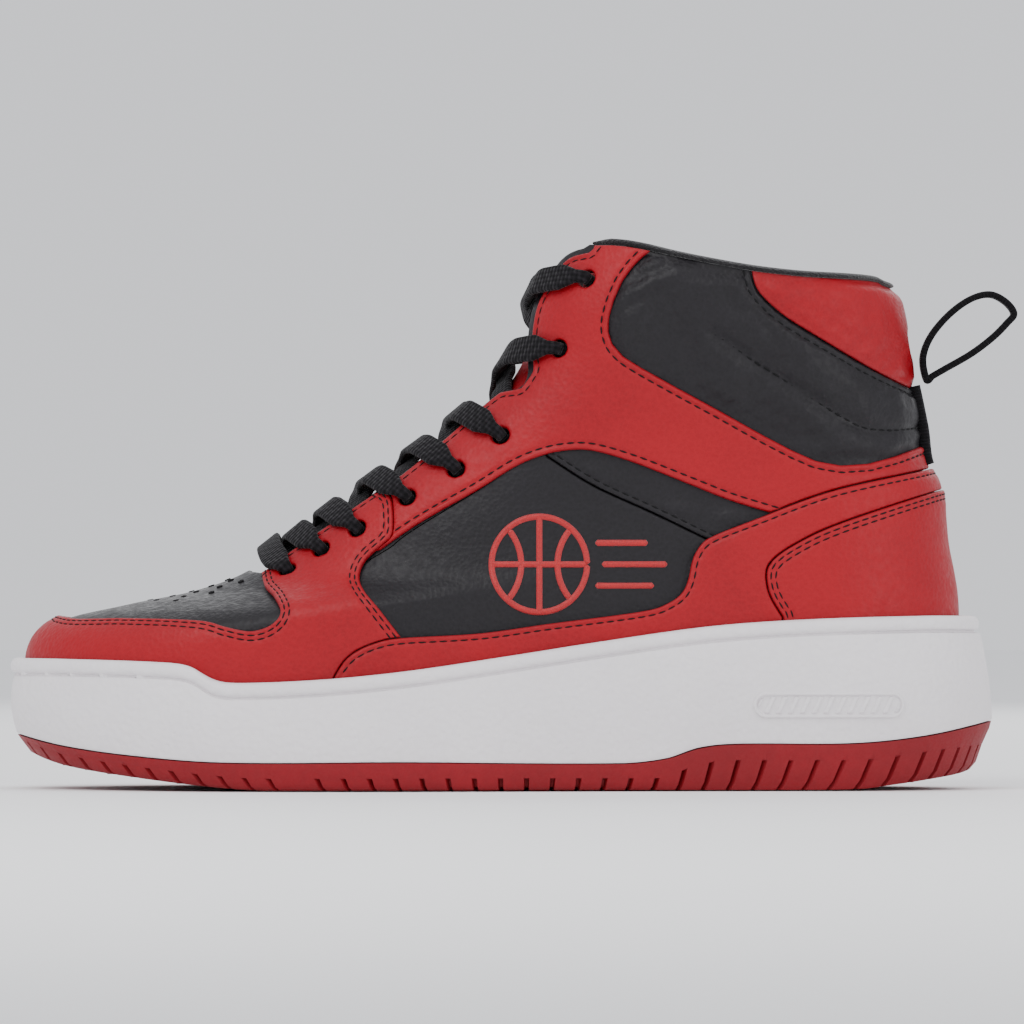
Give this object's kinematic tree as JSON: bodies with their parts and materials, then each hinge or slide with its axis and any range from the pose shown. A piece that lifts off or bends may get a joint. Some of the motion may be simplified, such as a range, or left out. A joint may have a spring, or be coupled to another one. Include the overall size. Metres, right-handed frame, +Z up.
{
  "type": "basketball high top",
  "caption": "Left basketball high top shoe with laced padded upper, cup sole and rear pull loop.",
  "frame": {"origin": "bottom centre of the whole shoe's box, on the ground", "axes": "+X towards the heel, -X towards the toe, +Y medial, -Y lateral, +Z up"},
  "size_m": [0.3081, 0.114, 0.1694],
  "materials": {
    "red_leather": "satin",
    "black_leather": "satin",
    "white_rubber": "matte",
    "red_rubber": "matte",
    "black_textile": "matte",
    "black_webbing": "matte",
    "black_lace": "matte",
    "black_plastic": "gloss",
    "foam": "matte",
    "board": "matte"
  },
  "bodies": {
    "shoe": {"outsole": "red_rubber", "cupsole": "white_rubber", "midsole_wedge": "foam", "strobel_board": "board", "sockliner": "black_textile", "vamp": "black_leather", "toe_overlay": "red_leather", "collar_back_panel": "red_leather", "heel_patch": "red_leather", "toe_puff": "board", "heel_counter": "board", "vamp_lining": "black_textile", "collar_lining": "black_textile", "collar_foam": "foam", "topline_binding": "black_textile", "back_webbing": "black_webbing", "lace": "black_lace", "aglet_lateral": "black_plastic", "aglet_medial": "black_plastic", "quarter_lateral": "black_leather", "quarter_band_lateral": "black_leather", "eyestay_backing_lateral": "black_textile", "ankle_panel_lateral": "black_leather", "eyestay_lateral": "red_leather", "foxing_lateral": "red_leather", "quarter_medial": "black_leather", "quarter_band_medial": "black_leather", "eyestay_backing_medial": "black_textile", "ankle_panel_medial": "black_leather", "eyestay_medial": "red_leather", "foxing_medial": "red_leather"},
    "tongue": {"tongue_face": "red_leather", "tongue_foam": "foam", "tongue_lining": "black_textile"},
    "loop": {"pull_loop": "black_webbing"}
  },
  "joints": [
    {"name": "tongue_hinge", "type": "hinge", "parent": "shoe", "child": "tongue", "pos_m": [-0.084, 0, 0.058], "axis": [0, 1, 0], "range_deg": [0, 8], "stiffness_Nm_per_rad": 0.9},
    {"name": "pull_loop_hinge", "type": "hinge", "parent": "shoe", "child": "loop", "pos_m": [0.1262, 0, 0.1245], "axis": [0, 1, 0], "range_deg": [-10, 85], "stiffness_Nm_per_rad": 0.02}
  ]
}
